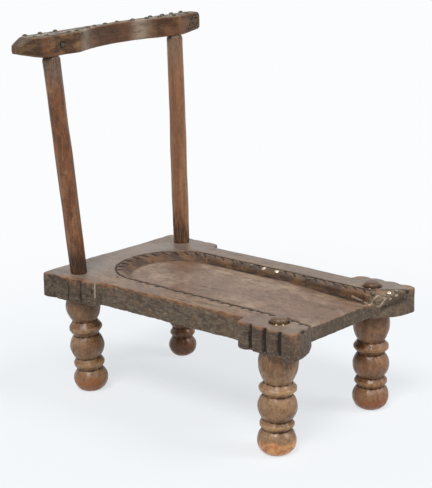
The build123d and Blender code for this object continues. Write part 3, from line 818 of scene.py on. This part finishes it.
# ---- the crest rail ------------------------------------------------------------------
# One yoke-shaped bar, hollowed in front for the sitter's back, with forward corners over
# the posts and swept-back wings. Dark polished front with a painted sheen, a grey top of dust and
# painted sheen, painted shade underneath, bare worn corners.
rail = even_copy("crest_rail", "crest_rail_carved", 1.0)
rail_low, rail_high = (np.array(corner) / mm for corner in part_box("crest_rail"))
rail_middle = (rail_low[2] + rail_high[2]) / 2
rail_tilt = math.tan(math.radians(0.8))
skin = Skin(rail)
p = skin.points
skin.rub(3, 0.5)
level = p[:, 2] - rail_middle - rail_tilt * p[:, 0]
rail_corners = [((-145, 207), 9.0), ((140, 213), 9.0), ((-190, 238), 15.0), ((200, 232), 10.0)]
corner_rub = np.zeros(len(p))
for (x, y), reach in rail_corners:
    away = np.hypot(p[:, 0] - x, p[:, 1] - y)
    corner_rub = np.maximum(corner_rub, np.exp(-((away / reach) ** 2)))
skin.rub(8, 0.5 * corner_rub)
skin.rub(4, 0.45 * ease(np.abs(level), 11, 14))

# the top of the left tip slopes down, and the end of the right tip is rounded
slope_start, slope_length, slope_drop = 166.0, 24.0, 10.8
round_start, round_length = 190.0, 10.0
left_end = np.clip((-p[:, 0] - slope_start) / slope_length, 0, 1)
right_end = 1 - np.sqrt(1 - np.clip((p[:, 0] - round_start) / round_length, 0, 1) ** 2)
p[:, 2] -= slope_drop * left_end * np.clip((level + 5.0) / 20.75, 0, 1) + 0.6 * right_end * level
right_wing = ease(p[:, 0], 152, 176)
dents = 0.4 * bumps(p, 34.0, 101, (1.5, 1, 1)) + 0.2 * bumps(p, 10.0, 102, (2, 1, 1))
marks = 0.09 * bumps(p, 3.0, 103, (5, 1, 1)) + 0.8 * right_wing * np.minimum(bumps(p, 3.8, 104), 0)
skin.lift(dents + marks)
nail_low, nail_high = (np.array(corner) / mm - seat_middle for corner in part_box("rail_nail"))
nail_spot = (nail_low + nail_high) / 2
nail_spot[1] = nail_low[1]
sinking = np.exp(-((np.linalg.norm((p - nail_spot) * (1, 1, 0.8), axis=1) / 6.5) ** 4))
skin.lift(-0.9 * sinking)
facing = skin.normals()
keen = skin.keen(2)
ridges = ((-80, 2.0, 0.3), (-145, 5.0, 0.62), (140, 2.2, 0.7))
rubbed = [share * np.exp(-(((p[:, 0] - x) / wide) ** 2)) for x, wide, share in ridges]
rubbed = np.maximum.reduce(rubbed)
rubbed *= ease(-facing[:, 1], 0.3, 0.6)
# the left facet is painted a warmer gold
left_facet = 1 - ease(np.abs(p[:, 0] + 112), 26, 34)
# pale: a painted sheen just right of the left ridge, and a pale grey patch right of the middle
patch = np.exp(-(((p[:, 0] - 68) / 16) ** 2)) + 0.7 * np.exp(-(((p[:, 0] + 62) / 14) ** 2))
shade = np.exp(-(((p[:, 0] - 4) / 26) ** 2)) + 0.55 * ease(-level, 4, 14)
# the sloping top of the left tip is painted darker
slope = ease(left_end, 0.02, 0.2) * ease(facing[:, 2], 0.3, 0.6)
skin.store("shade_and_soil", np.maximum(np.clip(-keen, 0, 1), 0.3 * right_wing + 0.45 * slope))
skin.store("wing", np.maximum(right_wing, ease(-p[:, 0], 150, 158)) + 1.4 * sinking)
skin.store("worn", np.clip(keen, 0, 1))
skin.store("rubbed", np.maximum(rubbed, 0.45 * corner_rub))
skin.store("warm", left_facet)
skin.store("pale", patch)
skin.store("shade", np.clip(shade, 0, 1))
# top: where the grey of dust and painted sheen goes
skin.store("top", ease(facing[:, 2], 0.5, 0.85) * (1 - slope))
# under: painted shade on the underside
skin.store("under", ease(-facing[:, 2], 0.5, 0.85))
skin.write()

wood = Finish("rail_old_wood")
streaks, fibres, pores, grit = grain_of(wood, "X")
patches = wood.cloud(wood.place((0.6, 1, 1)), 22.0, 4.0, 0.6)
mottle = wood.cloud(wood.place((0.5, 1, 1)), 90.0, 5.0, 0.7)
gold = wood.mix(wood.rise(mottle, 0.4, 0.6), tone(148, 110, 72), tone(96, 66, 42))
coat = wood.mix(wood.rise(patches, 0.4, 0.58), tone(82, 52, 32), tone(120, 84, 57))
coat = wood.mix(wood.layer("warm") * 0.75, coat, gold)
coat = wood.mix(wood.layer("shade") * 0.7, coat, tone(78, 45, 29))
# painted sheen and a pale patch on the front
coat = wood.mix(wood.layer("pale") * 0.75, coat, tone(164, 148, 130))
dull = wood.mix(wood.rise(mottle, 0.42, 0.58), tone(98, 78, 54), tone(64, 48, 33))
coat = wood.mix(wood.layer("wing") * 0.8, coat, dull)
coat = wood.mix(wood.rise(mottle, 0.45, 0.62) * 0.4, coat, tone(56, 38, 26))
# grey of dust and painted sheen on the top faces
dust_and_sheen = wood.mix(wood.rise(mottle, 0.42, 0.58), tone(152, 143, 130), tone(82, 70, 60))
coat = wood.mix(wood.layer("top") * 0.85, coat, dust_and_sheen)
coat = wood.mix(wood.rise(streaks, 0.46, 0.64) * 0.35, coat, tone(50, 35, 25))
coat = wood.mix(wood.rise(grit, 0.54, 0.66) * 0.25, coat, tone(154, 130, 100))
coat = wood.mix(pores * 0.3, coat, tone(38, 26, 18))
edge = wood.rise(wood.layer("worn") + (mottle - 0.5) * 0.9, 0.45, 0.95)
coat = wood.mix(edge * 0.4, coat, tone(148, 116, 84))
bare = wood.rise(wood.layer("rubbed") + (mottle - 0.5) * 1.4 + (grit - 0.5) * 0.8, 0.3, 0.9)
coat = wood.mix(bare * 0.7, coat, tone(156, 104, 66))
# painted shade underneath and in the hollows, with the dark right wing and the darker sloping tip
shade_and_dirt = wood.rise(wood.layer("shade_and_soil") + wood.layer("under") * 0.5 + (mottle - 0.5) * 0.4, 0.25, 0.75)
coat = wood.mix(shade_and_dirt * 0.8, coat, tone(38, 27, 20))
relief = wood.bump(streaks * 0.4 + fibres * 0.3 + grit * 0.5 - pores * 0.3, 0.5, 0.6 * mm)
shine = 0.3 + wood.rise(mottle, 0.4, 0.65) * 0.14 + shade_and_dirt * 0.2 + wood.layer("top") * 0.15
wood.fill(wood.shader, {"Base Color": coat, "Roughness": shine, "Normal": relief, "IOR": 1.3})
coat_with(rail, wood.material)
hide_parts("crest_rail")
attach(rail, "root")


# ---- the brass tacks -----------------------------------------------------------------
# Domed brass tacks driven into the top of the rail, the right side of the border and the
# grooves round the bosses. Most are dark with age, and a few are rubbed bright.
def tack_tree():
    """Sets one domed, slightly dented tack on each point, turned to the way it faces."""
    tree = bpy.data.node_groups.new("domed_tacks", "GeometryNodeTree")
    face = tree.interface
    face.new_socket("Geometry", in_out="INPUT", socket_type="NodeSocketGeometry")
    wanted = {"Head Radius": "NodeSocketFloat", "Dome Height": "NodeSocketFloat"}
    wanted |= {"Shank Length": "NodeSocketFloat", "Tilt": "NodeSocketFloat"}
    wanted |= {"Seed": "NodeSocketInt", "Brass": "NodeSocketMaterial"}
    for name, kind in wanted.items():
        face.new_socket(name, in_out="INPUT", socket_type=kind)
    face.new_socket("Geometry", in_out="OUTPUT", socket_type="NodeSocketGeometry")

    def node(kind, sockets, **settings):
        made = tree.nodes.new(kind)
        for name, value in settings.items():
            setattr(made, name, value)
        for key, value in sockets.items():
            if isinstance(value, bpy.types.NodeSocket):
                tree.links.new(value, made.inputs[key])
            else:
                made.inputs[key].default_value = value
        return made.outputs

    given = node("NodeGroupInput", {})
    ball = node("GeometryNodeMeshUVSphere", {"Segments": 18, "Rings": 12, "Radius": 1.0})
    spot = node("GeometryNodeInputPosition", {})
    axes = node("ShaderNodeSeparateXYZ", {0: spot[0]})
    above = node("ShaderNodeMath", {0: axes[2], 1: 0.0}, operation="MAXIMUM")
    wide = node("ShaderNodeMath", {0: axes[0], 1: given["Head Radius"]}, operation="MULTIPLY")
    deep = node("ShaderNodeMath", {0: axes[1], 1: given["Head Radius"]}, operation="MULTIPLY")
    tall = node("ShaderNodeMath", {0: above[0], 1: given["Dome Height"]}, operation="MULTIPLY")
    shape = node("ShaderNodeCombineXYZ", {0: wide[0], 1: deep[0], 2: tall[0]})
    dome = node("GeometryNodeSetPosition", {"Geometry": ball[0], "Position": shape[0]})
    dome = node("GeometryNodeMergeByDistance", {"Geometry": dome[0], "Distance": 0.01 * mm})
    height = node("ShaderNodeMath", {0: axes[2], 1: given["Dome Height"]}, operation="DIVIDE")
    dome = node(
        "GeometryNodeStoreNamedAttribute",
        {"Geometry": dome[0], "Name": "crown", "Value": height[0]},
        data_type="FLOAT",
        domain="POINT",
    )
    shank = node(
        "GeometryNodeMeshCylinder",
        {"Vertices": 8, "Radius": 0.7 * mm, "Depth": given["Shank Length"]},
    )
    half = node("ShaderNodeMath", {0: given["Shank Length"], 1: -0.5}, operation="MULTIPLY")
    drop = node("ShaderNodeCombineXYZ", {2: half[0]})
    shank = node("GeometryNodeTransform", {"Geometry": shank[0], "Translation": drop[0]})
    joined = node("GeometryNodeJoinGeometry", {})
    tree.links.new(dome[0], joined[0].node.inputs[0])
    tree.links.new(shank[0], joined[0].node.inputs[0])
    facing = node("GeometryNodeInputNamedAttribute", {"Name": "facing"}, data_type="FLOAT_VECTOR")
    aligned = node("FunctionNodeAlignRotationToVector", {"Vector": facing[0]}, axis="Z")
    tilt = node(
        "FunctionNodeRandomValue",
        {"Min": (-1.0, -1.0, -3.1), "Max": (1.0, 1.0, 3.1), "Seed": given["Seed"]},
        data_type="FLOAT_VECTOR",
    )
    amount = node("ShaderNodeCombineXYZ", {0: given["Tilt"], 1: given["Tilt"], 2: 1.0})
    tipped = node("ShaderNodeVectorMath", {0: tilt[0], 1: amount[0]}, operation="MULTIPLY")
    turned = node("FunctionNodeEulerToRotation", {0: tipped[0]})
    rotation = node("FunctionNodeRotateRotation", {0: aligned[0], 1: turned[0]}, rotation_space="LOCAL")
    size = node(
        "FunctionNodeRandomValue",
        {"Min": (0.92, 0.92, 0.8), "Max": (1.06, 1.06, 1.1), "Seed": given["Seed"]},
        data_type="FLOAT_VECTOR",
    )
    placed = node(
        "GeometryNodeInstanceOnPoints",
        {"Points": given["Geometry"], "Instance": joined[0], "Rotation": rotation[0], "Scale": size[0]},
    )
    real = node("GeometryNodeRealizeInstances", {"Geometry": placed[0]})
    here = node("GeometryNodeInputPosition", {})
    dent = node("ShaderNodeTexNoise", {"Vector": here[0], "Scale": 420.0, "Detail": 1.0})
    centred = node("ShaderNodeVectorMath", {0: dent[1], 1: (0.5, 0.5, 0.5)}, operation="SUBTRACT")
    push = node("ShaderNodeVectorMath", {0: centred[0], "Scale": 0.9 * mm}, operation="SCALE")
    dented = node("GeometryNodeSetPosition", {"Geometry": real[0], "Offset": push[0]})
    smooth = node("GeometryNodeSetShadeSmooth", {"Geometry": dented[0]})
    coated = node("GeometryNodeSetMaterial", {"Geometry": smooth[0], "Material": given["Brass"]})
    node("NodeGroupOutput", {"Geometry": coated[0]})
    return tree


def set_tacks(name, node, places, rubbed, tree, sizes):
    """One tack on each place; rubbed says how bright each head is."""
    carrier = bpy.data.meshes.new(name)
    carrier.from_pydata([Vector(place) * mm for place, _ in places], [], [])
    facings = carrier.attributes.new("facing", "FLOAT_VECTOR", "POINT")
    facings.data.foreach_set("vector", np.array([facing for _, facing in places], np.float32).ravel())
    shine = carrier.attributes.new("rubbed", "FLOAT", "POINT")
    shine.data.foreach_set("value", np.array(rubbed, np.float32))
    tacks = bpy.data.objects.new(name, carrier)
    scene.collection.objects.link(tacks)
    maker = tacks.modifiers.new("tacks", "NODES")
    maker.node_group = tree
    for socket in tree.interface.items_tree:
        if socket.in_out == "INPUT" and socket.name in sizes:
            maker[socket.identifier] = sizes[socket.name]
    settle(tacks)
    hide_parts(node)
    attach(tacks, "root")


def brass_finish():
    brass = Finish("tack_old_brass")
    spot = brass.place()
    tarnish = brass.cloud(spot, 300.0, 4.0, 0.6)
    verdigris = brass.cloud(spot, 140.0, 3.0, 0.6)
    rubbed = brass.layer("rubbed")
    crown = brass.layer("crown")
    bare = brass.rise(rubbed + crown * 0.6 + (tarnish - 0.5) * 1.0, 0.9, 1.35)
    dull = brass.mix(brass.rise(tarnish, 0.4, 0.65), tone(58, 50, 38), tone(104, 94, 72))
    dull = brass.mix(brass.rise(verdigris, 0.5, 0.7) * 0.5, dull, tone(74, 78, 60))
    coat = brass.mix(bare, dull, tone(214, 202, 178))
    coat = brass.mix((0.3 - crown).clamp() * 2.5, coat, tone(38, 32, 26))
    relief = brass.bump(tarnish, 0.4, 0.3 * mm)
    sockets = {"Base Color": coat, "Metallic": 0.35 + bare * 0.65}
    sockets |= {"Roughness": 0.5 - bare * 0.22, "Normal": relief}
    brass.fill(brass.shader, sockets)
    return brass.material


tacks = tack_tree()
brass = brass_finish()
large = {"Head Radius": 4.0 * mm, "Dome Height": 2.6 * mm, "Shank Length": 9.0 * mm, "Tilt": 0.12}
large |= {"Seed": 3, "Brass": brass}
small = large | {"Head Radius": 2.0 * mm, "Dome Height": 2.6 * mm, "Tilt": 0.05, "Seed": 5}
rail_places = tack_places("rail_tacks")
boss_places = tack_places("boss_tacks")
chance = np.random.default_rng(11)
rail_rub = chance.uniform(0.0, 0.45, len(rail_places))
border_rub = [0.5, 0.8, 0.45, 0.35, 0.95, 0.85, 0.5, 0.3]      # from the front backwards
set_tacks("rail_tacks_domed", "rail_tacks", rail_places, rail_rub, tacks, large)
set_tacks("border_tacks_domed", "border_tacks", border_tack_places, border_rub, tacks, large)
set_tacks("boss_tacks_domed", "boss_tacks", boss_places, [1.0] * len(boss_places), tacks, small)


# ---- the nail ------------------------------------------------------------------------
# A round-shanked iron nail driven into the front of the rail beside the left post, its
# flat head let into a shallow sinking and rusted dark.
nail = even_copy("rail_nail", "rail_nail_head", 0.35)
skin = Skin(nail)
skin.lift(0.12 * bumps(skin.points, 2.0, 121) + 0.05 * bumps(skin.points, 0.9, 122))
skin.write()
iron = Finish("nail_rusted_iron")
rust = iron.cloud(iron.place(), 700.0, 4.0, 0.7)
coat = iron.mix(iron.rise(rust, 0.4, 0.65), tone(70, 66, 62), tone(104, 92, 82))
relief = iron.bump(rust, 0.5, 0.3 * mm)
sockets = {"Base Color": coat, "Roughness": 0.5 + rust * 0.3, "Metallic": 0.6, "Normal": relief}
iron.fill(iron.shader, sockets)
coat_with(nail, iron.material)
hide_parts("rail_nail")
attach(nail, "root")


# ---- the floor and the light ---------------------------------------------------------
# A seamless pale paper floor that stays near white towards the back, under a wide soft
# key light from the left, a weaker one from the right and an even white surround.
floor_mesh = bpy.data.meshes.new("paper_floor")
reach = 40.0
corners = [(-reach, -reach, 0), (reach, -reach, 0), (reach, reach, 0), (-reach, reach, 0)]
floor_mesh.from_pydata(corners, [], [(0, 1, 2, 3)])
paper_floor = bpy.data.objects.new("paper_floor", floor_mesh)
scene.collection.objects.link(paper_floor)
paper = Finish("pale_paper")
sockets = {"Base Color": tone(238, 241, 245), "Roughness": 0.9, "Specular IOR Level": 0.1}
paper.fill(paper.shader, sockets)
away = paper.add("ShaderNodeVectorMath", {"operation": "LENGTH"}, {0: paper.place()}, 1)
glow = paper.mix(paper.rise(away, 0.4, 1.1), tone(246, 249, 252), tone(255, 255, 255))
seen = paper.add("ShaderNodeLightPath", {}, {}, "Is Camera Ray")
shiny = paper.add("ShaderNodeLightPath", {}, {}, "Is Glossy Ray")
white = paper.add("ShaderNodeEmission", {}, {"Color": glow, "Strength": 1.0})
lit = Field(paper, paper.shader.outputs[0])
share = (seen * 0.72 + shiny).clamp()
blend = paper.add("ShaderNodeMixShader", {}, {0: share, 1: lit, 2: white})
paper.links.new(blend.socket, paper.nodes["Material Output"].inputs["Surface"])
floor_mesh.materials.append(paper.material)


def soft_sun(name, azimuth, elevation, strength, softness, colour):
    """A broad even light from one side."""
    lamp = bpy.data.lights.new(name, "SUN")
    lamp.energy = strength
    lamp.angle = math.radians(softness)
    lamp.color = colour
    sun = bpy.data.objects.new(name, lamp)
    a, e = math.radians(azimuth), math.radians(elevation)
    source = Vector((math.sin(a) * math.cos(e), -math.cos(a) * math.cos(e), math.sin(e)))
    sun.rotation_mode = "QUATERNION"
    sun.rotation_quaternion = source.to_track_quat("Z", "Y")
    scene.collection.objects.link(sun)


soft_sun("key_light", -64, 54, 2.1, 22, (1.0, 0.985, 0.955))
soft_sun("fill_light", 30, 46, 1.15, 24, (0.97, 0.98, 1.0))
surround = bpy.data.worlds.new("white_surround")
surround.use_nodes = True
sky = surround.node_tree.nodes["Background"]
sky.inputs["Color"].default_value = (0.97, 0.985, 1.0, 1.0)
rays = surround.node_tree.nodes.new("ShaderNodeLightPath")
brightness = surround.node_tree.nodes.new("ShaderNodeMapRange")
brightness.inputs["To Min"].default_value = 0.25
surround.node_tree.links.new(rays.outputs["Is Glossy Ray"], brightness.inputs["Value"])
surround.node_tree.links.new(brightness.outputs[0], sky.inputs["Strength"])
scene.world = surround
